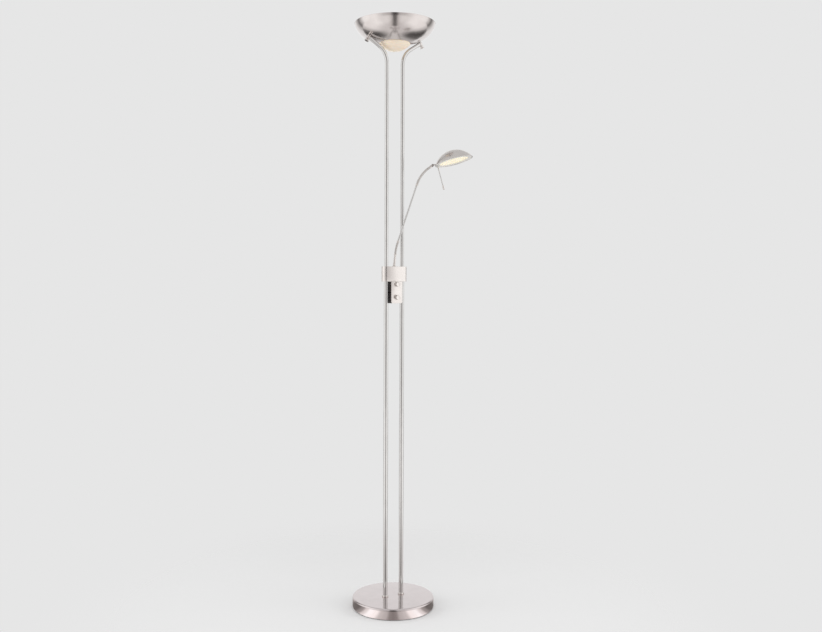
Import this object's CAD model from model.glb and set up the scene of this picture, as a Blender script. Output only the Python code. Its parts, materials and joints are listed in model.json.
import json
import math

import bmesh
import bpy
from mathutils import Matrix, Vector


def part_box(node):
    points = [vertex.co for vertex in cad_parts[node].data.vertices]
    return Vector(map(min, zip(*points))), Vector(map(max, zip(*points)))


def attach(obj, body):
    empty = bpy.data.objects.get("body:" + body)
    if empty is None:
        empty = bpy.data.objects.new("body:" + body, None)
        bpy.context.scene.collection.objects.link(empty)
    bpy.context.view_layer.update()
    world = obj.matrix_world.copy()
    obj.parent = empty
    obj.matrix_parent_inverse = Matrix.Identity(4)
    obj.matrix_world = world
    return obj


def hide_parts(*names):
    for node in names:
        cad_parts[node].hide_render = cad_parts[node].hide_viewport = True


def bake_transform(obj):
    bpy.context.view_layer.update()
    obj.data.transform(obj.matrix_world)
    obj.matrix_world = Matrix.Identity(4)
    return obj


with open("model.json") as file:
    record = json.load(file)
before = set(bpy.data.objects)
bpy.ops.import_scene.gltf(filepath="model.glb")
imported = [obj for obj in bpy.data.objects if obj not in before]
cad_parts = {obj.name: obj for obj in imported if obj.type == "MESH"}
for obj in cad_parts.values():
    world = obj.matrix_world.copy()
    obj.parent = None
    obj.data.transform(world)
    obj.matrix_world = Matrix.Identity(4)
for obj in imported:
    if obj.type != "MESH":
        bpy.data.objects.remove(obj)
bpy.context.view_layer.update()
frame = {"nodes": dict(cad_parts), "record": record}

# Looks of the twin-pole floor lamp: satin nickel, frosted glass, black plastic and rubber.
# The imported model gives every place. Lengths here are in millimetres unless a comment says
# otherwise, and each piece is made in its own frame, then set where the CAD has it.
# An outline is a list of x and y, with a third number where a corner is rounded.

MM = 0.001

# ---- sizes shared with the CAD -------------------------------------------------------
BASE_RADIUS, BASE_TOP, BASE_EDGE, SHEET_STEEL, COVER_FOOT = 125.0, 33.0, 6.0, 1.2, 1.4
INLET_HEIGHT, BASE_SCREW_CIRCLE = 11.4, 52.0
POLE_X, LOWER_POLE, UPPER_POLE, POLE_JOIN = 27.5, 7.0, 6.0, 1026.0
BAND_LOW, BAND_TOP, BAND_END, BAND_FRONT, BAND_WALL = 1003.0, 1049.5, 14.5, 18.0, 1.5
BOX_LOW, BOX_SIDE, BOX_DEPTH, BOX_CORNER, FRONT_PLATE = 936.0, 19.0, 16.5, 5.0, 2.0
CABLE_EXIT = 969.5
KNOB_HEIGHTS = {"upper": 994.7, "lower": 954.4}
KNOB_RADIUS, KNOB_LENGTH, KNOB_GAP, KNOB_GROOVES, KNURL_DEPTH = 7.3, 10.0, 0.3, 36, 0.35
BOWL_RIM, BOWL_CENTRE, BOWL_WIDE, BOWL_DEEP, BOWL_WALL = 1800.0, 1807.4, 125.6, 74.1, 1.2
BOWL_MOUTH = 48.0
ARM_CONTACT, ARM_BEND, ARM_RISE = 87.5, 60.0, 33.5
WASHER, EYE_LENGTH, EYE_RADIUS = 1.2, 8.5, 5.6
ARM_SWING, STEM_SEAT, STEM_LEAN, STEM_LENGTH = -30, 3.1, 5.5, 37.0
LOWER_TURN, LOWER_LENGTH = 12.7, 35.0
UPPER_TURN, UPPER_BEND, TUBE_LENGTH = 37.8, 100.0, 190.6
FORK_LENGTH, HEAD_TILT, HEAD_ROLL = 11.5, -70.5, -10
TINY, SLIVER, SAME_POINT, SMOOTH_BELOW = 1e-6, 0.001, 0.002, math.radians(38)


def shift(x=0.0, y=0.0, z=0.0):
    return Matrix.Translation((x * MM, y * MM, z * MM))


def turn(axis, degrees):
    return Matrix.Rotation(math.radians(degrees), 4, axis)


# ---- places along the reading arm and under the bowl --------------------------------
contact_height = BOWL_CENTRE - BOWL_DEEP * math.sqrt(1 - (ARM_CONTACT / BOWL_WIDE) ** 2)
contact_slope = math.degrees(
    math.atan((BOWL_DEEP / BOWL_WIDE) ** 2 * ARM_CONTACT / (BOWL_CENTRE - contact_height))
)
arm_root = turn("Z", ARM_SWING) @ shift(z=BAND_TOP)
stem_place = arm_root @ shift(z=STEM_SEAT) @ turn("Y", STEM_LEAN)
lower_neck_place = stem_place @ shift(z=STEM_LENGTH)
lower_bend = LOWER_LENGTH / math.radians(LOWER_TURN)


def along_bend(place, bend, degrees):
    return place @ shift(x=bend) @ turn("Y", degrees) @ shift(x=-bend)


tube_place = along_bend(lower_neck_place, lower_bend, LOWER_TURN)
upper_neck_place = tube_place @ shift(z=TUBE_LENGTH)
fork_place = along_bend(upper_neck_place, UPPER_BEND, UPPER_TURN)
tilt_place = fork_place @ shift(z=FORK_LENGTH)
neck_place = tilt_place @ turn("Y", HEAD_TILT)
head_place = neck_place @ turn("X", HEAD_ROLL) @ shift(65.5, 0, -3)


def pole_place(side):
    return turn("Z", 90 - 90 * side) @ shift(x=POLE_X)


def bowl_screw_place(side):
    at_wall = turn("Z", 90 - 90 * side) @ shift(ARM_CONTACT, 0, contact_height)
    return at_wall @ turn("Y", 180 - contact_slope)


# ---- colours and nodes ---------------------------------------------------------------


def paint(code):
    """An sRGB hex colour as linear red, green, blue and alpha."""
    parts = [int(code[i : i + 2], 16) / 255 for i in (1, 3, 5)]
    linear = [c / 12.92 if c <= 0.04045 else ((c + 0.055) / 1.055) ** 2.4 for c in parts]
    return (*linear, 1.0)


def put(tree, kind, **given):
    """Add a node. A given name is one of its settings or inputs, and a socket is linked."""
    made = tree.nodes.new(kind)
    for key, value in given.items():
        name = key.replace("_", " ").strip()
        name = int(name[2:]) if name.startswith("in") and name[2:].isdigit() else name
        if isinstance(name, str) and hasattr(made, key):
            setattr(made, key, value)
            continue
        socket = made.inputs[name]
        if isinstance(value, bpy.types.NodeSocket):
            tree.links.new(value, socket)
        else:
            socket.default_value = value
    return made


def new_finish(name):
    finish = bpy.data.materials.new(name)
    finish.use_nodes = True
    tree = finish.node_tree
    tree.nodes.clear()
    return finish, tree


def close(finish, tree, shader):
    put(tree, "ShaderNodeOutputMaterial", Surface=shader)
    return finish


def own_place(tree):
    return put(tree, "ShaderNodeTexCoord").outputs["Object"]


def reckon(tree, operation, *values):
    given = {f"in{index}": value for index, value in enumerate(values)}
    return put(tree, "ShaderNodeMath", operation=operation, **given).outputs[0]


def mixed(tree, share, first, second, way="MIX"):
    """Two colours mixed, each a hex code or a socket."""
    pair = [paint(shade) if isinstance(shade, str) else shade for shade in (first, second)]
    mix = put(tree, "ShaderNodeMix", data_type="RGBA", blend_type=way, in0=share,
              in6=pair[0], in7=pair[1])
    return mix.outputs[2]


def spots(tree, size, place=None, detail=3.0, stretch=(1, 1, 1)):
    """Noise whose grain is `size` millimetres, drawn longer along an axis by `stretch`."""
    scale = tuple(1 / (size * MM * s) for s in stretch)
    grid = put(tree, "ShaderNodeMapping", Vector=place or own_place(tree), Scale=scale)
    noise = put(tree, "ShaderNodeTexNoise", Vector=grid.outputs[0], Scale=1.0, Detail=detail)
    return noise.outputs[0]


def spread(tree, value, low, high, start=0.3, end=0.7):
    """Stretch the range from start to end over the range from low to high."""
    ramp = put(tree, "ShaderNodeMapRange", Value=value, in1=start, in2=end, in3=low, in4=high)
    return ramp.outputs[0]


def relief(tree, height, depth):
    bump = put(tree, "ShaderNodeBump", Height=height, Distance=depth * MM, Strength=1.0)
    return bump.outputs[0]


def clouded(tree, size, first, second):
    """Two near shades of one colour, which drift into each other over `size` millimetres."""
    return mixed(tree, spread(tree, spots(tree, size), 0, 1), first, second)


def rings(tree, pitch):
    """Lathe marks: the same all the way round, changing with radius and height."""
    place = own_place(tree)
    flat = put(tree, "ShaderNodeVectorMath", operation="MULTIPLY", in0=place, in1=(1, 1, 0))
    radius = put(tree, "ShaderNodeVectorMath", operation="LENGTH", in0=flat.outputs[0])
    parts = put(tree, "ShaderNodeSeparateXYZ", Vector=place)
    around = put(tree, "ShaderNodeCombineXYZ", X=radius.outputs["Value"], Z=parts.outputs["Z"])
    return spots(tree, pitch, around.outputs[0], detail=2.0)


# ---- finishes --------------------------------------------------------------------------
# Brushing and turning leave marks of about 0.1 mm, and blasted moulds and glass a grain
# finer than that. From where the lamp is seen, both would only make the picture flicker,
# so metal marks are drawn 0.4 to 0.5 mm wide and the other grains 0.35 to 1.4 mm.
GRAIN_ALONG, GRAIN_ACROSS = (1, 1, 90), (90, 90, 1)
HANDLED = 38.0  # how wide the faint clouds are that handling leaves on the plate


def satin_nickel(name, grain, roughness=0.2, tone=("#E0DBD8", "#D6D1CE"), depth=0.01):
    """Nickel plate over brushed steel: a warm grey mirror, softened by its fine grain.

    grain is "turned", "drawn" or "rolled", for marks round, along or across the piece.
    """
    finish, tree = new_finish(name)
    if grain == "turned":
        marks = rings(tree, 0.5)
    else:
        marks = spots(tree, 0.4, stretch=GRAIN_ALONG if grain == "drawn" else GRAIN_ACROSS)
    handled = spots(tree, HANDLED, detail=4.0)
    rough = reckon(tree, "ADD", spread(tree, marks, roughness - 0.03, roughness + 0.03),
                   spread(tree, handled, -0.02, 0.03))
    shader = put(
        tree, "ShaderNodeBsdfPrincipled",
        Base_Color=mixed(tree, spread(tree, handled, 0, 1), *tone), Metallic=1.0,
        Roughness=rough, Normal=relief(tree, marks, depth),
    )
    return close(finish, tree, shader.outputs[0])


def plain_metal(name, first, second, roughness, grain=1.2, depth=0.02):
    """Bare or zinc plated metal with a fine crystalline mottle."""
    finish, tree = new_finish(name)
    mottle = spots(tree, grain, detail=4.0)
    shader = put(
        tree, "ShaderNodeBsdfPrincipled",
        Base_Color=clouded(tree, 9.0, first, second), Metallic=1.0,
        Roughness=spread(tree, mottle, roughness - 0.06, roughness + 0.08),
        Normal=relief(tree, mottle, depth),
    )
    return close(finish, tree, shader.outputs[0])


def moulded(name, first, second, roughness, grain, depth, specular=0.5):
    """Plastic, rubber, foam or paint with the fine texture of its mould or its coat."""
    finish, tree = new_finish(name)
    skin = spots(tree, grain, detail=2.0)
    shader = put(
        tree, "ShaderNodeBsdfPrincipled", Base_Color=clouded(tree, 26.0, first, second),
        Roughness=spread(tree, skin, roughness - 0.05, roughness + 0.06),
        Normal=relief(tree, skin, depth), Specular_IOR_Level=specular,
    )
    return close(finish, tree, shader.outputs[0])


def lit_opal(name, first, second, glow, roughness, grain, depth, strength):
    """Frosted glass or opal plastic that lets some of the warm light behind it through."""
    finish, tree = new_finish(name)
    frost = spots(tree, grain)
    shader = put(
        tree, "ShaderNodeBsdfPrincipled", Base_Color=clouded(tree, 30.0, first, second),
        Roughness=spread(tree, frost, roughness - 0.06, roughness + 0.06),
        Normal=relief(tree, frost, depth), IOR=1.5, Subsurface_Weight=0.3,
        Subsurface_Radius=(0.008, 0.006, 0.004),  # metres: red goes deepest
        Emission_Color=paint(glow), Emission_Strength=strength,
    )
    return close(finish, tree, shader.outputs[0])


def circuit(name, first, second):
    """Solder mask over copper fields of 2 by 1 mm, glossier where it lies on copper."""
    finish, tree = new_finish(name)
    grid = put(tree, "ShaderNodeMapping", Vector=own_place(tree), Scale=(500, 500, 500))
    tracks = put(
        tree, "ShaderNodeTexBrick", Vector=grid.outputs[0], Scale=0.5,
        Color1=paint(first), Color2=paint(second), Mortar=paint(first),
    )
    shader = put(
        tree, "ShaderNodeBsdfPrincipled", Base_Color=tracks.outputs[0],
        Roughness=spread(tree, tracks.outputs[1], 0.3, 0.42),
        Normal=relief(tree, tracks.outputs[1], 0.05),
    )
    return close(finish, tree, shader.outputs[0])


# turned on a lathe: rings round the part, which draw each highlight out along it
turned_nickel = satin_nickel("satin_nickel_turned", "turned")
# spun over a former: shallow rings about its middle, and a soft mirror between them
spun_nickel = satin_nickel(
    "satin_nickel_spun_bowl", "turned", 0.16, ("#D2CCCA", "#CAC4C2"), 0.012)
# pressed in one stroke from polished sheet: nearly a clear mirror, a little warm
pressed_nickel = satin_nickel(
    "satin_nickel_pressed_base", "turned", 0.1, ("#CDC5C5", "#C8C0C0"), 0.005)
# drawn through a die: lines along the tube, so what it mirrors turns into long streaks
drawn_nickel = satin_nickel(
    "satin_nickel_drawn_tube", "drawn", 0.13, ("#D2D1D0", "#CAC9C8"))
# brushed strip: level lines that blur what it mirrors up and down
rolled_nickel = satin_nickel(
    "satin_nickel_rolled_band", "rolled", 0.24, ("#DDD8D5", "#D6D1CE"))
# strip wound over a spring: rubbed by its own turns, so darker and duller than the tubes
wound_nickel = satin_nickel(
    "satin_nickel_wound_strip", "turned", 0.26, ("#CBC7C4", "#BCB8B5"))
# plated over a polished casting: a broad, soft highlight
cast_nickel = satin_nickel(
    "satin_nickel_die_cast_head", "turned", 0.22, ("#D2CDCA", "#C8C3C0"))
# zinc plate on steel: a bluish grey, half dull from its small crystals
zinc = plain_metal("zinc_plated_steel", "#B9BCC0", "#A5A7A6", 0.34)
# aluminium as it leaves the die: pale, with an even dull sheen
bare_aluminium = plain_metal("extruded_aluminium", "#C4C6C8", "#B4B6B8", 0.38)
# zinc alloy as cast: a dull grey skin, pebbled by the mould
die_cast = plain_metal("die_cast_zinc_alloy", "#A9AAAC", "#989A9C", 0.45, 0.8, 0.05)
# iron cast in sand: its pits still show through the black paint
iron = moulded("cast_iron_painted_black", "#232322", "#2E2C2A", 0.62, 1.4, 0.15)
# plastic from a spark-worn mould: an even grain that takes the gloss off
black_abs = moulded("abs_black_spark_texture", "#2F2725", "#342B29", 0.42, 0.35, 0.03)
# moulded rubber: matt, and dark with soot
rubber = moulded("rubber_black", "#1A1A1A", "#222221", 0.68, 0.6, 0.03, 0.35)
# cut foam: open cells that swallow nearly all light
foam = moulded("foam_pad_dark_grey", "#2A2A2B", "#363536", 0.9, 0.9, 0.3, 0.2)
# extruded sheath: smooth and slightly shiny
sheath = moulded("pvc_sheath_black", "#151515", "#1C1B1B", 0.4, 0.5, 0.01)
# pale grey plastic from a blasted mould: satin, with hardly any relief
grey_abs = moulded("abs_silver_grey_satin", "#F0EDE8", "#EAE7E2", 0.36, 0.4, 0.01)
# sand-blasted glass: scatters the warm light, so nothing behind it shows
frosted_glass = lit_opal(
    "frosted_glass_warm", "#F1E3CF", "#EEDECA", "#FFE9D2", 0.42, 0.5, 0.01, 0.1)
# acrylic milky all through: the light leaves it evenly
opal_acrylic = lit_opal(
    "opal_acrylic_cover", "#F2EEE6", "#EEE9DF", "#FFF4E2", 0.38, 0.5, 0.01, 0.1)
# thin frosted polycarbonate: yellowish, and the brightest of the three
warm_lens = lit_opal(
    "polycarbonate_lens_frosted", "#F4EED8", "#F1EACF", "#FFF3D6", 0.4, 0.45, 0.005, 0.3)
# printed boards: a glossy coat, green on the dimmer's and white under the light diodes
green_mask = circuit("solder_mask_green", "#145A32", "#1E6B3E")
white_mask = circuit("solder_mask_white", "#EDEBE4", "#F4F2EC")

# ---- mesh helpers --------------------------------------------------------------------


def eased(outline, steps=6):
    """Round the corners of an outline. A corner is x, y and the radius of its rounding."""
    points = []
    count = len(outline)
    for index, corner in enumerate(outline):
        here = Vector(corner[:2])
        radius = corner[2] if len(corner) > 2 else 0
        before = Vector(outline[index - 1][:2])
        after = Vector(outline[(index + 1) % count][:2])
        back, ahead = (before - here), (after - here)
        straight = back.length < 1e-6 or ahead.length < 1e-6 or back.angle(ahead) > 3.13
        if not radius or straight:
            points.append(here)
            continue
        half = back.angle(ahead) / 2
        reach = min(radius / math.tan(half), back.length * 0.49, ahead.length * 0.49)
        radius = reach * math.tan(half)
        toward = (back.normalized() + ahead.normalized()).normalized()
        middle = here + toward * (radius / math.sin(half))
        first = here + back.normalized() * reach - middle
        last = here + ahead.normalized() * reach - middle
        angle = first.angle_signed(last)
        for step in range(steps + 1):
            spin = Matrix.Rotation(-angle * step / steps, 2)
            points.append(middle + spin @ first)
    return points


def ring_points(steps):
    """Cosine and sine at each step of a full turn."""
    angles = [2 * math.pi * step / steps for step in range(steps)]
    return [(math.cos(angle), math.sin(angle)) for angle in angles]


def add_ring(shell, radius, height, steps):
    return [shell.verts.new((radius * c, radius * s, height)) for c, s in ring_points(steps)]


def stitch(shell, loops, ends=False):
    """Join each loop of points to the next with faces, and close both ends if asked."""
    for low, high in zip(loops, loops[1:]):
        for index in range(len(low)):
            after = (index + 1) % len(low)
            shell.faces.new((low[index], low[after], high[after], high[index]))
    if ends:
        shell.faces.new(loops[0])
        shell.faces.new(loops[-1])


def move_to(place, shell, verts):
    """Move points, which are in millimetres, by a place, which is in metres."""
    scaled = Matrix.Diagonal((1000, 1000, 1000, 1)) @ place @ Matrix.Diagonal((MM, MM, MM, 1))
    bmesh.ops.transform(shell, matrix=scaled, verts=verts)


def arc(radius, start, sweep, count):
    """Points on a circle, with the angles in degrees."""
    angles = [math.radians(start + sweep * index / count) for index in range(count + 1)]
    return [(radius * math.cos(angle), radius * math.sin(angle)) for angle in angles]


def new_piece(name, shell, place=None):
    """Turn a bmesh in millimetres into an object, smooth but for edges over 38 degrees."""
    bmesh.ops.remove_doubles(shell, verts=shell.verts, dist=0.0005)
    bmesh.ops.recalc_face_normals(shell, faces=shell.faces)
    bmesh.ops.scale(shell, vec=(MM, MM, MM), verts=shell.verts)
    mesh = bpy.data.meshes.new(name)
    shell.to_mesh(mesh)
    shell.free()
    for face in mesh.polygons:
        face.use_smooth = True
    mesh.set_sharp_from_angle(angle=SMOOTH_BELOW)
    piece = bpy.data.objects.new(name, mesh)
    bpy.context.scene.collection.objects.link(piece)
    if place is not None:
        piece.matrix_world = place
    return piece


def revolve(shell, points, steps=72, place=None):
    """Turn an outline of radius and height about Z. It is closed unless it meets the axis."""
    open_ended = abs(points[0][0]) < TINY or abs(points[-1][0]) < TINY
    loops = []
    for radius, height in points:
        if abs(radius) < TINY:
            loops.append([shell.verts.new((0, 0, height))])
        else:
            loops.append(add_ring(shell, radius, height, steps))
    pairs = list(zip(loops, loops[1:]))
    if not open_ended:
        pairs.append((loops[-1], loops[0]))
    for low, high in pairs:
        for step in range(steps):
            corners = [low[step % len(low)], low[(step + 1) % len(low)],
                       high[(step + 1) % len(high)], high[step % len(high)]]
            unique = list(dict.fromkeys(corners))
            if len(unique) > 2:
                shell.faces.new(unique)
    if place is not None:
        move_to(place, shell, [vert for loop in loops for vert in loop])


def lathe(name, outline, place=None, steps=72, ease=6):
    """A turned piece: an outline of radius and height, taken round its axis."""
    shell = bmesh.new()
    revolve(shell, eased(outline, ease), steps)
    return new_piece(name, shell, place)


def raised(name, outline, low, high, place=None, edge=0.0, hole=None):
    """A plate or sleeve: an outline in X and Y between two heights, with rounded edges."""
    shell = bmesh.new()
    walls = [eased(points, 8) for points in (outline, hole) if points]
    loops = []
    for points in walls:
        levels = [[shell.verts.new((x, y, level)) for x, y in points] for level in (low, high)]
        loops.append(levels)
        stitch(shell, levels)
    for level in (0, 1):
        if hole:
            edges = [
                shell.edges.get((ring[level][i], ring[level][(i + 1) % len(ring[level])]))
                for ring in loops for i in range(len(ring[level]))
            ]
            bmesh.ops.triangle_fill(shell, edges=edges, use_beauty=True)
        else:
            shell.faces.new(loops[0][level])
    bmesh.ops.recalc_face_normals(shell, faces=shell.faces)
    if edge:
        sharp = [e for e in shell.edges if len(e.link_faces) == 2
                 and e.calc_face_angle(0) > math.radians(60)]
        bmesh.ops.bevel(shell, geom=sharp, offset=edge, segments=3, affect="EDGES", profile=0.5)
    return new_piece(name, shell, place)


def tube_along(shell, path, radius, steps):
    """A round tube, closed at both ends, through points in the XZ plane."""
    loops = []
    for index, (x, z) in enumerate(path):
        before = Vector(path[max(index - 1, 0)])
        after = Vector(path[min(index + 1, len(path) - 1)])
        way = (after - before).normalized()
        loops.append([
            shell.verts.new((x + radius * c * way.y, radius * s, z - radius * c * way.x))
            for c, s in ring_points(steps)
        ])
    stitch(shell, loops, ends=True)


def cut_from(piece, tool):
    """Cut one shape out of a piece, delete it, and clear up the slivers of the cut."""
    bore = piece.modifiers.new("bore", "BOOLEAN")
    bore.operation = "DIFFERENCE"
    bore.solver = "EXACT"
    bore.object = tool
    bpy.context.view_layer.update()
    graph = bpy.context.evaluated_depsgraph_get()
    cut_mesh = bpy.data.meshes.new_from_object(piece.evaluated_get(graph))
    piece.modifiers.clear()
    old = piece.data
    piece.data = cut_mesh
    bpy.data.meshes.remove(old)
    bpy.data.objects.remove(tool)
    clean = bmesh.new()
    clean.from_mesh(piece.data)
    bmesh.ops.remove_doubles(clean, verts=clean.verts, dist=SAME_POINT * MM)
    bmesh.ops.dissolve_degenerate(clean, edges=clean.edges, dist=SLIVER * MM)
    bmesh.ops.triangulate(clean, faces=[face for face in clean.faces if len(face.verts) > 4])
    clean.to_mesh(piece.data)
    clean.free()
    piece.data.set_sharp_from_angle(angle=SMOOTH_BELOW)
    return piece


def lofted(name, levels, outline, place=None):
    """A skin through copies of an outline, closed at both ends. A level is inset and height."""
    shell = bmesh.new()
    loops = [[shell.verts.new((x, y, height)) for x, y in eased(outline(inset), 8)]
             for inset, height in levels]
    stitch(shell, loops, ends=True)
    return new_piece(name, shell, place)


def settle(piece):
    """Move a slanting piece's place into its mesh, so that its box fits it closely."""
    piece.data.transform(piece.matrix_world)
    piece.matrix_world = Matrix.Identity(4)
    return piece


def dress(piece, finish, body, slot, *nodes):
    """Give a piece its finish, hang it on its body and let it stand for its CAD nodes."""
    piece.data.materials.clear()
    piece.data.materials.append(finish)
    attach(piece, body)
    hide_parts(*nodes)
    return piece


# ---- camera --------------------------------------------------------------------------
# the lamp is seen level, from 28 degrees to the left of its front, 2.8 m away
VIEW_TURN, VIEW_DISTANCE, VIEW_HEIGHT, VIEW_ROLL = -28.0, 2.817, 1.0075, 0.19
# picture size, focal length and lens centre, all in picture points, and film in mm
PICTURE_WIDE, PICTURE_TALL, FOCAL_POINTS, FILM_WIDE = 822, 632, 910.4, 36.0
CENTRE_ACROSS, CENTRE_DOWN = 394.1, 280.1
view_back = Vector((math.sin(math.radians(VIEW_TURN)), -math.cos(math.radians(VIEW_TURN)), 0))


def set_camera():
    lens = bpy.data.cameras.new("camera")
    lens.sensor_width = FILM_WIDE
    lens.lens = FOCAL_POINTS / PICTURE_WIDE * FILM_WIDE
    lens.shift_x = (PICTURE_WIDE / 2 - CENTRE_ACROSS) / PICTURE_WIDE
    lens.shift_y = -(PICTURE_TALL / 2 - CENTRE_DOWN) / PICTURE_WIDE
    lens.clip_start, lens.clip_end = 0.05, 60
    camera = bpy.data.objects.new("camera", lens)
    bpy.context.scene.collection.objects.link(camera)
    camera.location = view_back * VIEW_DISTANCE + Vector((0, 0, VIEW_HEIGHT))
    level = view_back.to_track_quat("Z", "Y").to_matrix().to_4x4()
    camera.rotation_euler = (level @ turn("Z", VIEW_ROLL)).to_euler()
    bpy.context.scene.camera = camera


set_camera()

# ---- base ----------------------------------------------------------------------------


def make_base():
    inside = BASE_RADIUS - SHEET_STEEL
    cover = lathe(
        "base_cover_pressed",
        [
            (0, BASE_TOP),
            (BASE_RADIUS, BASE_TOP, BASE_EDGE),
            (BASE_RADIUS, COVER_FOOT, 0.4),
            (inside, COVER_FOOT, 0.4),
            (inside, BASE_TOP - SHEET_STEEL, BASE_EDGE - SHEET_STEEL),
            (0, BASE_TOP - SHEET_STEEL),
        ],
        steps=180, ease=10)
    inlet = lathe("inlet_cutter", [(0, -9), (5.6, -9), (5.6, 9), (0, 9)],
                  shift(0, BASE_RADIUS, INLET_HEIGHT) @ turn("X", -90), 40)
    cut_from(cover, inlet)
    dress(cover, pressed_nickel, "root", "satin_nickel", "base_cover")

    grommet = lathe(
        "cord_grommet_rubber",
        [
            (3.5, -1.5, 0.5), (7.5, -1.5, 0.6), (7.5, 0), (5.5, 0),
            (5.5, 1.5), (7.5, 1.5), (7.5, 3.0, 0.9), (3.5, 3.0, 0.8),
        ],
        shift(0, inside - 0.3, INLET_HEIGHT) @ turn("X", -90), 48)
    dress(grommet, rubber, "root", "black_rubber", "cord_grommet")

    for name, side in (("left", -1), ("right", 1)):
        collar = lathe(
            f"foot_collar_{name}",
            [
                (LOWER_POLE + 0.05, BASE_TOP), (9.5, BASE_TOP, 0.3), (9.5, 36.6, 0.5),
                (8.6, 38.0, 0.7), (LOWER_POLE + 0.05, 38.0, 0.3),
            ],
            pole_place(side), 64)
        dress(collar, turned_nickel, "root", "satin_nickel", "foot_collars")

    for index in range(4):
        place = turn("Z", 90 * index + 45) @ shift(x=BASE_SCREW_CIRCLE)
        screw = lathe(
            f"base_screw_{index + 1}",
            [(0, 0.55), (3.55, 0.55, 0.9), (3.55, 2.0, 0.1), (2.0, 2.0), (2.0, 11.0, 0.4),
             (0, 11.0)],
            place, 40)
        for spin in (0, 90):
            slot = [(-2, -0.35), (2, -0.35), (2, 0.35), (-2, 0.35)]
            cut_from(screw, raised("slot_cutter", slot, 0.2, 1.2, place @ turn("Z", spin)))
        dress(screw, zinc, "root", "zinc_steel", "base_screws")


def make_poles():
    """Drawn tubes, the lower pair straight and the upper pair bent out at the top."""
    arm_out = ARM_BEND * (1 - math.sin(math.radians(ARM_RISE)))
    arm_up = ARM_BEND * math.cos(math.radians(ARM_RISE))
    middle = WASHER + EYE_LENGTH / 2
    eye_x = ARM_CONTACT + middle * math.sin(math.radians(contact_slope)) - POLE_X
    eye_z = contact_height - middle * math.cos(math.radians(contact_slope))
    bend_low = eye_z - (eye_x - arm_out) * math.tan(math.radians(ARM_RISE)) - arm_up
    path = [(0, POLE_JOIN + step * (bend_low - POLE_JOIN) / 12) for step in range(13)]
    for step in range(1, 25):
        angle = math.radians((90 - ARM_RISE) * step / 24)
        path.append((ARM_BEND * (1 - math.cos(angle)), bend_low + ARM_BEND * math.sin(angle)))
    start, end = Vector(path[-1]), Vector((eye_x, eye_z))
    stop = end - (end - start).normalized() * (EYE_RADIUS - 1.5)
    path += [tuple(start.lerp(stop, share)) for share in (0.33, 0.66, 1.0)]
    for name, side in (("left", -1), ("right", 1)):
        shell = bmesh.new()
        tube_along(shell, path, UPPER_POLE, 56)
        upper = new_piece(f"upper_pole_{name}_tube", shell, pole_place(side))
        dress(upper, drawn_nickel, "root", "satin_nickel", f"upper_pole_{name}")
        lower = lathe(
            f"lower_pole_{name}_tube",
            [(5.8, BASE_TOP), (LOWER_POLE, BASE_TOP), (LOWER_POLE, POLE_JOIN), (5.8, POLE_JOIN)],
            pole_place(side), 56)
        dress(lower, drawn_nickel, "root", "satin_nickel", f"lower_pole_{name}")


# ---- band and control box --------------------------------------------------------------


def band_outline(inset):
    """Round ends about the poles, joined by long gently bulging sides."""
    steps, bulge = 18, BAND_FRONT - BAND_END
    centre = (POLE_X**2 - bulge**2) / (2 * bulge)
    side, end = BAND_FRONT + centre - inset, BAND_END - inset
    lean = math.atan2(POLE_X, centre)
    points = []
    for sign in (1, -1):
        for step in range(steps + 1):
            angle = lean - 2 * lean * step / steps
            along = side * math.cos(angle) - centre
            points.append((sign * side * math.sin(angle), sign * along))
        for step in range(1, steps):
            angle = lean + (math.pi - 2 * lean) * step / steps
            along = POLE_X + end * math.sin(angle)
            points.append((-sign * along, sign * end * math.cos(angle)))
    return points


def make_band():
    sleeve = raised("band_sleeve_rolled", band_outline(0), BAND_LOW, BAND_TOP, None, 0.45,
                    band_outline(BAND_WALL))
    dress(sleeve, rolled_nickel, "root", "satin_nickel", "band_sleeve")


def box_outline(inset):
    side, low, high = BOX_SIDE - inset, BOX_LOW + inset, BAND_LOW - inset
    corner = max(BOX_CORNER - inset, 1.0)
    return [(side, high, 0.3), (-side, high, 0.3), (-side, low, corner), (side, low, corner)]


def make_box():
    upright = turn("X", 90)
    rear, wall = -BOX_DEPTH, 1.5
    # a parting line runs round the moulded body, 6 mm behind its front
    body = lofted(
        "box_body_moulded",
        [(0.35, rear), (0.1, rear + 0.1), (0, rear + 0.35), (0, 9.9), (0.4, 9.9), (0.4, 10.5),
         (0, 10.5), (0, BOX_DEPTH - 0.15), (0.15, BOX_DEPTH), (wall, BOX_DEPTH),
         (wall, rear + wall)],
        box_outline, upright)
    cable_way = lathe("cable_cutter", [(0, 16), (2.6, 16), (2.6, 22), (0, 22)],
                      shift(z=CABLE_EXIT) @ turn("Y", -90), 32)
    cut_from(body, cable_way)
    dress(body, black_abs, "root", "black_plastic", "box_body")
    plate = raised("box_front_plate", box_outline(0.0), BOX_DEPTH, BOX_DEPTH + FRONT_PLATE,
                   upright, 0.35)
    dress(plate, rolled_nickel, "root", "satin_nickel", "box_front")


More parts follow.
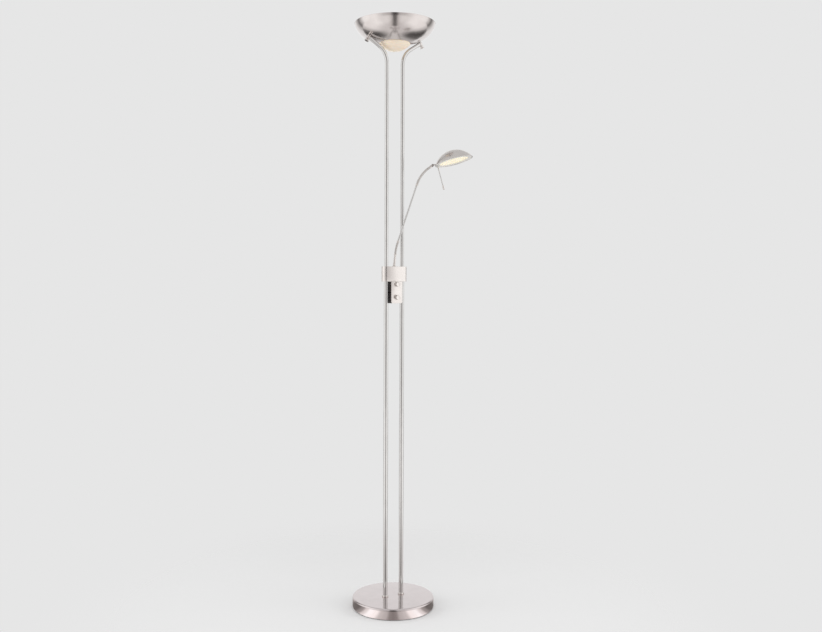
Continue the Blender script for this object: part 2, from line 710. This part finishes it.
def make_knob(name, height):
    """A knurled rim with a smooth skirt and face, a hollow back and a pointer line."""
    place = shift(0, -BOX_DEPTH, height) @ turn("X", 90)
    low, steps = FRONT_PLATE + KNOB_GAP, 4 * KNOB_GROOVES
    high = low + KNOB_LENGTH
    # each level is a height, an inset from the rim, and 1 where the grooves cut it
    profile = [
        (low, 0, 0), (low + 0.9, 0, 0), (low + 1.2, 0.1, 1), (high - 1.3, 0.1, 1),
        (high - 0.9, 0.25, 0), (high - 0.35, 0.5, 0), (high - 0.1, 0.9, 0), (high, 1.4, 0),
        (high - 0.12, 1.7, 0), (high - 0.15, KNOB_RADIUS - 1.2, 0),
    ]
    shell = bmesh.new()
    loops = []
    for level, inset, knurled in profile:
        ring = []
        for step, (c, s) in enumerate(ring_points(steps)):
            wave = 0.5 - 0.5 * math.cos(2 * math.pi * step / steps * KNOB_GROOVES)
            size = KNOB_RADIUS - inset - knurled * KNURL_DEPTH * wave
            ring.append(shell.verts.new((size * c, size * s, level)))
        loops.append(ring)
    stitch(shell, loops)
    shell.faces.new(loops[-1])
    hollow = [add_ring(shell, 5.9, level, steps) for level in (low, low + 2.6)]
    stitch(shell, (loops[0], *hollow))
    shell.faces.new(hollow[1])
    knob = new_piece(f"{name}_knob_knurled", shell, place)
    mark = raised("mark_cutter", [(-0.35, 2.6), (0.35, 2.6), (0.35, 8.0), (-0.35, 8.0)],
                  high - 0.5, high + 1.0, place)
    cut_from(knob, mark)
    dress(knob, turned_nickel, f"{name}_dimmer", "satin_nickel", f"{name}_knob")


# ---- bowl ------------------------------------------------------------------------------


def bowl_height(radius, inset=0.0):
    across = radius / (BOWL_WIDE - inset)
    return BOWL_CENTRE - (BOWL_DEEP - inset) * math.sqrt(max(1 - across * across, 0))


def make_bowl():
    """Spun from sheet: fine rings all over, a thin turned rim and a round mouth below."""
    rim = BOWL_WIDE * math.sqrt(1 - ((BOWL_CENTRE - BOWL_RIM) / BOWL_DEEP) ** 2)
    steps = 60
    outer, inner = [], []
    for step in range(steps + 1):
        share = math.sin(math.pi / 2 * step / steps)
        radius = BOWL_MOUTH + (rim - BOWL_MOUTH) * share
        outer.append((radius, bowl_height(radius)))
        inside = BOWL_MOUTH + (rim - BOWL_WALL - BOWL_MOUTH) * share
        inner.append((inside, bowl_height(inside, BOWL_WALL)))
    outer[-1] = (rim, BOWL_RIM - 0.5)
    inner[-1] = (rim - BOWL_WALL, BOWL_RIM - 0.5)
    lip = [(rim + 0.15, BOWL_RIM - 0.25), (rim, BOWL_RIM), (rim - 0.6, BOWL_RIM + 0.1),
           (rim - BOWL_WALL, BOWL_RIM), (rim - BOWL_WALL - 0.1, BOWL_RIM - 0.25)]
    shell = bmesh.new()
    revolve(shell, outer + lip + inner[::-1], 200)
    bowl = new_piece("bowl_spun", shell)
    dress(bowl, spun_nickel, "root", "satin_nickel", "bowl")


def make_dome():
    """The blown glass dome with its flange, and the opal cover above it."""
    neck, wall, flange = BOWL_MOUTH - 0.5, 2.5, 53.0
    flange_low = bowl_height(flange, BOWL_WALL) + 0.15
    dome_high, bulge = flange_low - 4.6, 22.0
    curve = (neck**2 + bulge**2) / (2 * bulge)
    centre = dome_high - bulge + curve

    def cap(radius, edge, count=26):
        full = math.asin(edge / radius)
        angles = [full * index / count for index in range(count + 1)]
        return [(radius * math.sin(a), centre - radius * math.cos(a)) for a in angles]

    rim = [(neck, flange_low - 0.6), (neck + 0.3, flange_low), (flange - 0.4, flange_low),
           (flange, flange_low + 0.4), (flange, flange_low + wall),
           (neck - wall, flange_low + wall)]
    shell = bmesh.new()
    revolve(shell, cap(curve, neck) + rim + cap(curve - wall, neck - wall)[::-1], 144)
    dome = new_piece("glass_dome_frosted", shell)
    dress(dome, frosted_glass, "root", "frosted_glass", "glass_dome")

    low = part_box("opal_cover")[0].z / MM
    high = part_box("opal_cover")[1].z / MM
    cover = lathe(
        "opal_cover_moulded",
        [(40.05, low), (44.0, low, 0.4), (44.0, high, 4.0), (0, high), (0, high - 2.0),
         (42.0, high - 2.0, 2.0), (42.0, low + 4.05), (40.05, low + 4.05)],
        None, 120, 8)
    dress(cover, opal_acrylic, "root", "opal_plastic", "opal_cover")


def make_bowl_holders():
    for name, side in (("left", -1), ("right", 1)):
        place = bowl_screw_place(side)
        eye = lathe(
            f"arm_eye_{name}",
            [(2.75, WASHER), (EYE_RADIUS, WASHER, 0.7), (EYE_RADIUS, WASHER + EYE_LENGTH, 0.7),
             (2.75, WASHER + EYE_LENGTH)],
            place, 56)
        dress(eye, turned_nickel, "root", "satin_nickel", "arm_eyes")
        low = WASHER + EYE_LENGTH
        nut = lathe(
            f"cap_nut_{name}",
            [
                (0, low), (4.4, low, 0.4), (4.55, low + 1.2, 0.2), (4.2, low + 1.6, 0.2),
                (4.75, low + 2.2, 0.2), (5.6, low + 9.0, 0.2), (5.2, low + 9.3, 0.2),
                (6.6, low + 9.6, 0.5), (6.6, low + 11.5, 0.7), (4.6, low + 11.5, 0.3),
                (4.2, low + 11.1), (0, low + 11.1),
            ],
            place, 64)
        dress(nut, turned_nickel, "root", "satin_nickel", "cap_nuts")


# ---- reading arm -------------------------------------------------------------------------


def make_stem():
    bush = lathe(
        "arm_bush_turned",
        [(3.05, -20.0), (5.0, -20.0), (5.0, -0.6), (6.6, -0.6, 0.2), (6.6, 1.5, 0.6),
         (3.05, 1.5, 0.2)],
        arm_root, 56)
    dress(bush, turned_nickel, "root", "satin_nickel", "arm_bush")
    # shoulder and spigot stand upright in the bush, and the taper leans out from them
    shell = bmesh.new()
    shoulder = [(0, -22.4), (3.0, -22.4, 0.3), (3.0, 1.55), (4.6, 1.55, 0.3), (4.6, 3.6, 0.5),
                (0, 3.6)]
    revolve(shell, eased(shoulder, 4), 56, arm_root)
    taper = [
        (0, 0), (4.2, 0), (3.75, 16.0), (3.2, 33.0), (4.05, 33.0, 0.3), (4.5, 33.6, 0.3),
        (4.5, 34.6, 0.1), (4.3, 34.8), (4.3, 35.2), (4.5, 35.4, 0.1), (4.5, 36.4, 0.3),
        (3.9, STEM_LENGTH, 0.3), (0, STEM_LENGTH),
    ]
    revolve(shell, eased(taper, 4), 56, stem_place)
    stem = new_piece("arm_stem_turned", shell)
    dress(stem, turned_nickel, "stem", "satin_nickel", "arm_stem")


STRIP_PITCH, LEVELS_PER_TURN, RIDGE_DEPTH, RIDGE_ROUND = 2.4, 12, 0.5, 0.55


def make_gooseneck(name, radius, bend, degrees, place, node):
    """A strip wound in a spiral over a spring, so each turn shows as a rounded ridge."""
    turns = bend * math.radians(degrees) / STRIP_PITCH
    count, steps = int(round(turns * LEVELS_PER_TURN)), 36
    shell = bmesh.new()
    loops = []
    for index in range(count + 1):
        share = index / count
        angle = math.radians(degrees) * share
        middle = Vector((bend * (1 - math.cos(angle)), 0, bend * math.sin(angle)))
        out = Vector((math.cos(angle), 0, -math.sin(angle)))
        ring = []
        for step, (c, s) in enumerate(ring_points(steps)):
            phase = (share * turns + step / steps) % 1.0
            ridge = abs(math.sin(math.pi * phase)) ** RIDGE_ROUND
            size = radius - RIDGE_DEPTH * (1 - ridge)
            ring.append(shell.verts.new(middle + out * (size * c) + Vector((0, size * s, 0))))
        loops.append(ring)
    stitch(shell, loops, ends=True)
    move_to(place, shell, shell.verts)
    neck = new_piece(name, shell)
    neck.data.materials.append(wound_nickel)
    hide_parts(node)
    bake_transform(neck)


def make_arm():
    make_gooseneck("lower_gooseneck_wound", 3.4, lower_bend, LOWER_TURN, lower_neck_place,
                   "lower_gooseneck")
    make_gooseneck("upper_gooseneck_wound", 3.7, UPPER_BEND, UPPER_TURN, upper_neck_place,
                   "upper_gooseneck")
    tube = lathe(
        "arm_tube_drawn",
        [(1.6, 0.05), (3.0, 0.05), (3.0, TUBE_LENGTH - 0.05), (1.6, TUBE_LENGTH - 0.05)],
        tube_place, 48)
    dress(tube, drawn_nickel, "arm", "satin_nickel", "arm_tube")
    for name, low in (("lower", 0.05), ("upper", TUBE_LENGTH - 6.05)):
        sleeve = lathe(
            f"tube_sleeve_{name}",
            [
                (3.05, low), (4.0, low, 0.4), (4.0, low + 1.4, 0.1), (3.8, low + 1.6),
                (3.8, low + 2.0), (4.0, low + 2.2, 0.1), (4.0, low + 3.8, 0.1),
                (3.8, low + 4.0), (3.8, low + 4.4), (4.0, low + 4.6, 0.1),
                (4.0, low + 6.0, 0.4), (3.05, low + 6.0),
            ],
            tube_place, 48, 3)
        dress(sleeve, turned_nickel, "arm", "satin_nickel", "tube_sleeves")


def make_fork():
    gap, cheek, outside, edge = 1.65, 3.8, 3.35, 0.25
    ferrule = lathe(
        "fork_ferrule",
        [(0, 0.05), (4.2, 0.05, 0.4), (4.2, 1.2, 0.1), (4.0, 1.4), (4.0, 1.8), (4.2, 2.0, 0.1),
         (4.2, 6.4, 0.6), (3.4, 7.4, 0.2), (0, 7.4)],
        fork_place, 48, 3)
    dress(ferrule, turned_nickel, "arm_end", "satin_nickel", "neck_fork")
    # each cheek is a flat bar with a round end about the tilt screw
    across = tilt_place @ turn("X", 90)
    outline = arc(cheek, 0, 180, 20) + [(-cheek, -5.5), (cheek, -5.5)]
    for name, low, high in (("near", gap, outside), ("far", -outside, -gap)):
        bar = raised(f"fork_cheek_{name}", outline, low, high, across, edge)
        dress(bar, turned_nickel, "arm_end", "satin_nickel", "neck_fork")
    screw = lathe(
        "tilt_screw_head",
        [(0, 0.4 - outside), (1.25, 0.4 - outside), (1.25, outside), (2.4, outside, 0.1),
         (2.4, outside + 1.4, 0.5), (0, outside + 1.4)],
        across, 40)
    slotted = raised("slot_cutter", [(-3, -0.3), (3, -0.3), (3, 0.3), (-3, 0.3)],
                     outside + 0.8, outside + 2.0, across @ turn("Z", 35))
    cut_from(screw, slotted)
    dress(screw, turned_nickel, "arm_end", "satin_nickel", "tilt_screw")
    shank = lathe(
        "head_neck_shank", [(0, 4.4), (1.6, 4.4), (2.0, 5.2, 0.4), (2.0, 18.3, 0.4), (0, 18.3)],
        neck_place @ turn("Y", 90), 40, 4)
    dress(shank, turned_nickel, "neck", "satin_nickel", "head_neck")
    lug = raised("head_neck_lug", arc(3.4, 36, 288, 24) + [(5.4, -2.0), (5.4, 2.0)],
                 -1.55, 1.55, neck_place @ turn("X", 90), edge)
    dress(lug, turned_nickel, "neck", "satin_nickel", "head_neck")


# ---- reading head ------------------------------------------------------------------------
HEAD_LONG, HEAD_WIDE, HEAD_TALL, HEAD_WALL, HEAD_LIP = 58.5, 38.0, 34.3, 1.2, -2.0
LENS_LONG, LENS_WIDE, LENS_RINGS, LENS_STEP = 46.2, 28.4, 56, 0.06
HANDLE_X, GRIP_START, GRIP_END, ROD_RADIUS = -52.0, -67.2, -81.2, 1.8


def make_head():
    dome = (HEAD_LONG**2 + HEAD_TALL**2) / (2 * HEAD_TALL)
    drop = dome - HEAD_TALL

    def skin(radius, count=36):
        """Profile of the dome from its top to the lip, as radius and height."""
        full = math.acos((drop + HEAD_LIP) / radius)
        angles = [full * index / count for index in range(count + 1)]
        return [(radius * math.sin(a), radius * math.cos(a) - drop) for a in angles]

    shell = bmesh.new()
    outer, inner = skin(dome), skin(dome - HEAD_WALL)
    edge = [(outer[-1][0] - 0.2, HEAD_LIP - 0.25), (inner[-1][0] + 0.2, HEAD_LIP - 0.25)]
    revolve(shell, outer + edge + inner[::-1], 144)
    bmesh.ops.scale(shell, vec=(1, HEAD_WIDE / HEAD_LONG, 1), verts=shell.verts)
    cap = new_piece("head_shell_die_cast", shell, head_place)
    way = lathe("neck_cutter", [(0, 50), (2.3, 50), (2.3, 64), (0, 64)],
                head_place @ shift(z=3.0) @ turn("Y", -90), 32)
    cut_from(cap, way)
    dress(settle(cap), cast_nickel, "head", "satin_nickel", "head_shell")

    # the lens is dished, with fine steps that run round it 1.6 mm apart
    shell = bmesh.new()
    points = [(0, 0.9)]
    for index in range(1, LENS_RINGS + 1):
        share = index / LENS_RINGS
        points.append((LENS_LONG * share, 0.9 - 0.35 * share + LENS_STEP * (index % 2)))
    points += [(LENS_LONG, 2.5), (0, 2.5)]
    revolve(shell, points, 144)
    bmesh.ops.scale(shell, vec=(1, LENS_WIDE / LENS_LONG, 1), verts=shell.verts)
    lens = new_piece("head_lens_stepped", shell, head_place)
    dress(settle(lens), warm_lens, "head", "lens_plastic", "head_lens")

    handle = head_place @ shift(x=HANDLE_X)
    rod = lathe(
        "handle_rod_turned",
        [(0, 0.1), (1.2, 0.1), (1.2, -1.5), (3.2, -1.5, 0.3), (3.2, -4.5, 0.5),
         (2.4, -4.5, 0.2), (ROD_RADIUS, -5.2, 0.3), (ROD_RADIUS, -80.0), (0, -80.0)],
        handle, 48)
    dress(rod, drawn_nickel, "head", "satin_nickel", "handle_rod")
    ridges = []
    for index in range(7):
        level = -80.0 + 1.5 * index
        ridges += [(2.5, level, 0.15), (2.5, level + 0.9, 0.15), (2.25, level + 1.1),
                   (2.25, level + 1.3)]
    foot = [(0, GRIP_END), (2.5, GRIP_END, 1.1)]
    bore = [(2.5, GRIP_START, 0.4), (1.85, GRIP_START, 0.2), (1.85, -80.0), (0, -80.0)]
    grip = lathe("handle_grip_ridged", foot + ridges + bore, handle, 48, 4)
    dress(grip, turned_nickel, "head", "satin_nickel", "handle_grip")


make_base()
make_poles()
make_band()
make_box()
for knob_name, knob_height in KNOB_HEIGHTS.items():
    make_knob(knob_name, knob_height)
make_bowl()
make_dome()
make_bowl_holders()
make_stem()
make_arm()
make_fork()
make_head()

# ---- finishes of the CAD pieces that keep their own shape ------------------------------
SLOT_FINISHES = {
    "satin_nickel": turned_nickel,
    "zinc_steel": zinc,
    "cast_iron": iron,
    "black_rubber": rubber,
    "cast_alloy": die_cast,
    "bare_aluminium": bare_aluminium,
    "black_plastic": black_abs,
    "black_sheath": sheath,
    "grey_plastic": grey_abs,
    "circuit_board": green_mask,
    "light_board": white_mask,
    "frosted_glass": frosted_glass,
    "opal_plastic": opal_acrylic,
    "lens_plastic": warm_lens,
}
OWN_FINISHES = {"base_pad": foam, "band_cap": rolled_nickel}
slots = {entry["node"]: entry["material_slot"] for entry in frame["record"]["subparts"]}
for name, node in frame["nodes"].items():
    finish = OWN_FINISHES.get(name, SLOT_FINISHES[slots[name]])
    if not node.data.materials:
        node.data.materials.append(finish)
    for index in range(len(node.data.materials)):
        node.data.materials[index] = finish

# ---- studio ----------------------------------------------------------------------------
# colours of the paper and the room, and lengths in metres, in all that follows
PAPER, ROOM, FLOOR_PAPER = "#E6E6E6", "#F1F1F1", "#F0F0F0"
ROOM_LIGHT, CLOTH_GLOW, FOOT_GLOW = 0.76, 1.3, 0.35
FLOOR_RADIUS, FADE_START, FADE_END = 1.2, 0.35, 1.1
TENT_RADIUS, TENT_LOW, TENT_HIGH, GROUND_START, GROUND_UP = 4.2, -0.5, 5.0, 0.127, 0.0008


def make_world():
    """Grey paper for the eye and for mirrors, and a dimmer, paler room for soft light."""
    world = bpy.data.worlds.new("studio_paper")
    world.use_nodes = True
    tree = world.node_tree
    tree.nodes.clear()
    rays = put(tree, "ShaderNodeLightPath").outputs
    first = reckon(tree, "MAXIMUM", rays["Is Camera Ray"], rays["Is Glossy Ray"])
    seen = reckon(tree, "MAXIMUM", first, rays["Is Transmission Ray"])
    paper = put(tree, "ShaderNodeBackground", Color=paint(PAPER), Strength=1.0)
    room = put(tree, "ShaderNodeBackground", Color=paint(ROOM), Strength=ROOM_LIGHT)
    mix = put(tree, "ShaderNodeMixShader", in0=seen, in1=room.outputs[0], in2=paper.outputs[0])
    put(tree, "ShaderNodeOutputWorld", Surface=mix.outputs[0])
    bpy.context.scene.world = world


def make_floor():
    """Pale paper that fades into the background well away from the lamp."""
    finish, tree = new_finish("studio_paper_floor")
    away = put(tree, "ShaderNodeVectorMath", operation="LENGTH", in0=own_place(tree))
    fade = put(tree, "ShaderNodeMapRange", interpolation_type="SMOOTHSTEP",
               Value=away.outputs["Value"], in1=FADE_START, in2=FADE_END, in3=0.0, in4=1.0)
    paper = put(tree, "ShaderNodeBsdfDiffuse", Color=paint(FLOOR_PAPER))
    clear = put(tree, "ShaderNodeBsdfTransparent")
    mix = put(tree, "ShaderNodeMixShader", in0=fade.outputs[0], in1=paper.outputs[0],
              in2=clear.outputs[0])
    close(finish, tree, mix.outputs[0])
    bpy.ops.mesh.primitive_circle_add(
        vertices=96, radius=FLOOR_RADIUS, fill_type="NGON", location=(0, 0, -0.0004))
    floor = bpy.context.active_object
    floor.name = "studio_floor"
    floor.data.materials.append(finish)


def shade_by_angle(tree, sideways, forward, shades):
    """Greys round a point, set by the angle from the camera's side."""
    size = reckon(tree, "ABSOLUTE", reckon(tree, "ARCTAN2", sideways, forward))
    ramp = put(tree, "ShaderNodeValToRGB", Fac=reckon(tree, "DIVIDE", size, math.pi))
    ramp.color_ramp.interpolation = "EASE"
    marks = ramp.color_ramp.elements
    while len(marks) > 1:
        marks.remove(marks[0])
    for index, (degrees, shade) in enumerate(shades):
        mark = marks[0] if index == 0 else marks.new(degrees / 180)
        mark.position = degrees / 180
        mark.color = paint(shade)
    return ramp.outputs[0]


def glowing_cloth(finish, tree, shade, strength=CLOTH_GLOW):
    cloth = put(tree, "ShaderNodeEmission", Color=shade, Strength=strength)
    return close(finish, tree, cloth.outputs[0])


def only_reflected(cloth, name, shell):
    """Hang a cloth that the metal mirrors, but that casts and blocks no other light."""
    mesh = bpy.data.meshes.new(name)
    shell.to_mesh(mesh)
    shell.free()
    card = bpy.data.objects.new(name, mesh)
    bpy.context.scene.collection.objects.link(card)
    card.data.materials.append(cloth)
    card.rotation_euler = (0, 0, math.radians(VIEW_TURN + 180))
    for way in ("camera", "diffuse", "shadow", "transmission", "volume_scatter"):
        setattr(card, f"visible_{way}", False)


# greys by the angle in degrees from the camera's side: the dark spans are open gaps
WALL_SHADES = [
    (0, "#454141"), (6, "#4E4A4A"), (13, "#C2BFBE"), (30, "#CDCBCA"), (42, "#E6E4E3"),
    (60, "#FFFEFD"), (100, "#FFFFFE"), (112, "#C2C0BF"), (123, "#686665"), (134, "#C2C1C0"),
    (146, "#E6E6E6"), (165, "#E6E6E6"),
]
GROUND_SHADES = [
    (0, "#E4E2E1"), (40, "#EDEBEA"), (66, "#FFFEFD"), (110, "#F4F2F1"), (126, "#CCCAC9"),
    (136, "#6E6C6B"), (146, "#454342"), (157, "#5C5A59"), (168, "#BCBAB9"), (178, "#D2D0CF"),
]
FOOT_SHADES = [
    (0, "#827C7A"), (5, "#8A8482"), (12, "#B6B2B0"), (22, "#C6C2C0"), (31, "#FAF6F4"),
    (44, "#FFFFFF"), (53, "#DCD8D6"), (62, "#989492"), (74, "#6A6664"), (90, "#6A6664"),
    (108, "#9A9694"), (130, "#C8C6C5"),
]
WEDGE_SHADES = [(0, "#5C5A59"), (3, "#666463"), (8, "#E8E6E5"), (16, "#FFFFFF")]
GROUND_MIDDLE = "#D6D3D2"


def ring_of_cloth(first, second):
    """Cloth between two circles about the lamp, each a radius and a height."""
    shell, steps = bmesh.new(), 96
    for step in range(steps):
        a, b = (2 * math.pi * (step + extra) / steps for extra in (0, 1))
        corners = [(radius * math.sin(angle), radius * math.cos(angle), height)
                   for (radius, height), angle in
                   ((first, a), (first, b), (second, b), (second, a))]
        shell.faces.new([shell.verts.new(corner) for corner in corners])
    return shell


def make_tent():
    """Cloth walls and ground that only the metal sees, and that give it its streaks."""
    wall, tree = new_finish("tent_wall_cloth")
    parts = put(tree, "ShaderNodeSeparateXYZ", Vector=own_place(tree)).outputs
    glowing_cloth(wall, tree, shade_by_angle(tree, parts["X"], parts["Y"], WALL_SHADES))
    only_reflected(wall, "tent_wall",
                   ring_of_cloth((TENT_RADIUS, TENT_LOW), (TENT_RADIUS, TENT_HIGH)))

    # the ground has its own greys close to the base, is even under the lamp, and darkens
    # to both sides and in a narrow wedge that leads to the camera
    ground, tree = new_finish("tent_ground_cloth")
    place = own_place(tree)
    away = put(tree, "ShaderNodeVectorMath", operation="LENGTH", in0=place).outputs["Value"]
    parts = put(tree, "ShaderNodeSeparateXYZ", Vector=place).outputs
    from_behind = reckon(tree, "ADD", parts["Y"], 0.8)
    far = spread(tree, away, 0, 1, 0.55, 1.3)
    near = spread(tree, away, 1, 0, 0.22, 0.27)
    even = mixed(tree, far, GROUND_MIDDLE,
                 shade_by_angle(tree, parts["X"], parts["Y"], GROUND_SHADES))
    wedge = mixed(tree, 1.0, even,
                  shade_by_angle(tree, parts["X"], from_behind, WEDGE_SHADES), "MULTIPLY")
    ringed = mixed(tree, near, wedge,
                   shade_by_angle(tree, parts["X"], parts["Y"], FOOT_SHADES))
    glowing_cloth(ground, tree, ringed,
                  reckon(tree, "MULTIPLY_ADD", near, FOOT_GLOW, CLOTH_GLOW))
    only_reflected(ground, "tent_ground",
                   ring_of_cloth((GROUND_START, GROUND_UP), (TENT_RADIUS, GROUND_UP)))


def soft_box(name, degrees, distance, height, width, tall, power):
    """A flat light in metres and watts, aimed at the lamp's middle and not mirrored."""
    lamp = bpy.data.lights.new(name, "AREA")
    lamp.shape = "RECTANGLE"
    lamp.size, lamp.size_y = width, tall
    lamp.energy = power
    holder = bpy.data.objects.new(name, lamp)
    bpy.context.scene.collection.objects.link(holder)
    angle = math.radians(VIEW_TURN + degrees)
    holder.location = Vector((math.sin(angle) * distance, -math.cos(angle) * distance, height))
    toward = Vector((0, 0, 1.0)) - holder.location
    holder.rotation_euler = toward.to_track_quat("-Z", "Y").to_euler()
    holder.visible_glossy = False


make_world()
make_floor()
make_tent()
soft_box("soft_box_left", -80, 2.6, 1.2, 1.5, 2.6, 22)
soft_box("soft_box_right", 80, 2.6, 1.2, 1.5, 2.6, 22)
soft_box("soft_box_top", 10, 1.4, 3.4, 2.0, 2.0, 16)
bpy.context.scene.view_settings.view_transform = "Standard"
